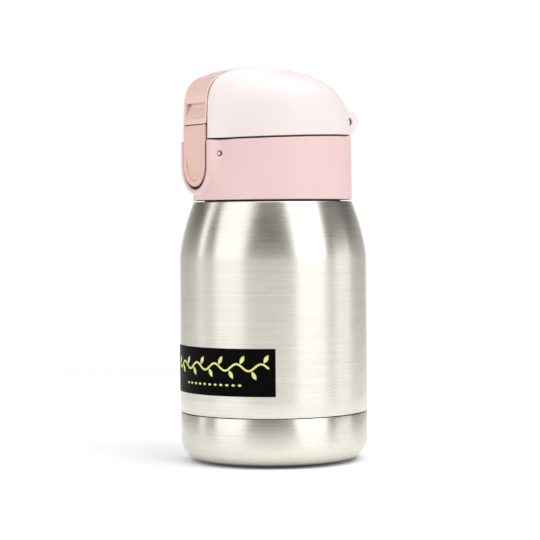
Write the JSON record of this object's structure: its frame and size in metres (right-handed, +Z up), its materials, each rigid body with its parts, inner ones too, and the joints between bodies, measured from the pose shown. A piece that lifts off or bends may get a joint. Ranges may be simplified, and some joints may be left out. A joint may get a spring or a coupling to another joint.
{
  "type": "insulated baby bottle",
  "caption": "Small double-wall steel toddler bottle with a screw-on cap, hinged flip lid, push-button latch, safety lock and soft drinking spout.",
  "frame": {"origin": "centre of the base, on the surface the bottle stands on", "axes": "+Z up along the bottle's axis, the push button faces -Y, the lid hinge is at +Y, the hinge pin runs along X"},
  "size_m": [0.068, 0.0684, 0.1417],
  "materials": {
    "brushed_steel": "fine brushing round the body",
    "plain_steel": "smooth",
    "label_black": "printed sticker with a plain gold ornament",
    "collar_pink": "satin moulded",
    "button_pink": "satin moulded",
    "lid_pink": "satin moulded, very pale",
    "white_plastic": "satin moulded",
    "silicone": "milky silicone",
    "getter": "sintered"
  },
  "bodies": {
    "flask": {"outer_shell": "brushed_steel", "base_cup": "brushed_steel", "base_plate": "plain_steel", "getter": "getter", "inner_liner": "plain_steel", "label": "label_black"},
    "seal": {"mouth_seal": "silicone"},
    "cap": {"collar": "collar_pink", "spout_deck": "collar_pink", "vent_valve": "silicone", "spout": "silicone", "spout_ring": "white_plastic", "button_pin": "plain_steel", "button_spring": "plain_steel", "hinge_pin": "plain_steel", "hinge_spring": "plain_steel"},
    "button": {"push_button": "button_pink"},
    "lid": {"lid_shell": "lid_pink", "lid_liner": "white_plastic", "lid_gasket": "silicone"},
    "lock": {"lock_lever": "button_pink"}
  },
  "joints": [
    {"name": "cap_rise", "type": "slide", "parent": "flask", "child": "seal", "axis": [0, 0, 1], "range_m": [0, 0.0121]},
    {"name": "cap_turn", "type": "hinge", "parent": "seal", "child": "cap", "pos_m": [0, 0, 0.1], "axis": [0, 0, 1], "range_deg": [0, 540]},
    {"name": "lid_hinge", "type": "hinge", "parent": "cap", "child": "lid", "pos_m": [0, 0.0266, 0.1229], "axis": [-1, 0, 0], "range_deg": [0, 120], "deforming": ["hinge_spring"]},
    {"name": "button_press", "type": "hinge", "parent": "cap", "child": "button", "pos_m": [0, -0.0279, 0.1108], "axis": [1, 0, 0], "range_deg": [0, 8], "stiffness_Nm_per_rad": 0.2, "springref_deg": -2.86, "deforming": ["button_spring"]},
    {"name": "lock_flip", "type": "hinge", "parent": "lid", "child": "lock", "pos_m": [0, -0.023, 0.1374], "axis": [-1, 0, 0], "range_deg": [0, 50]}
  ],
  "couplings": [
    {"joint": "cap_rise", "follows": "cap_turn", "m_per_rad": 0.0012732}
  ]
}
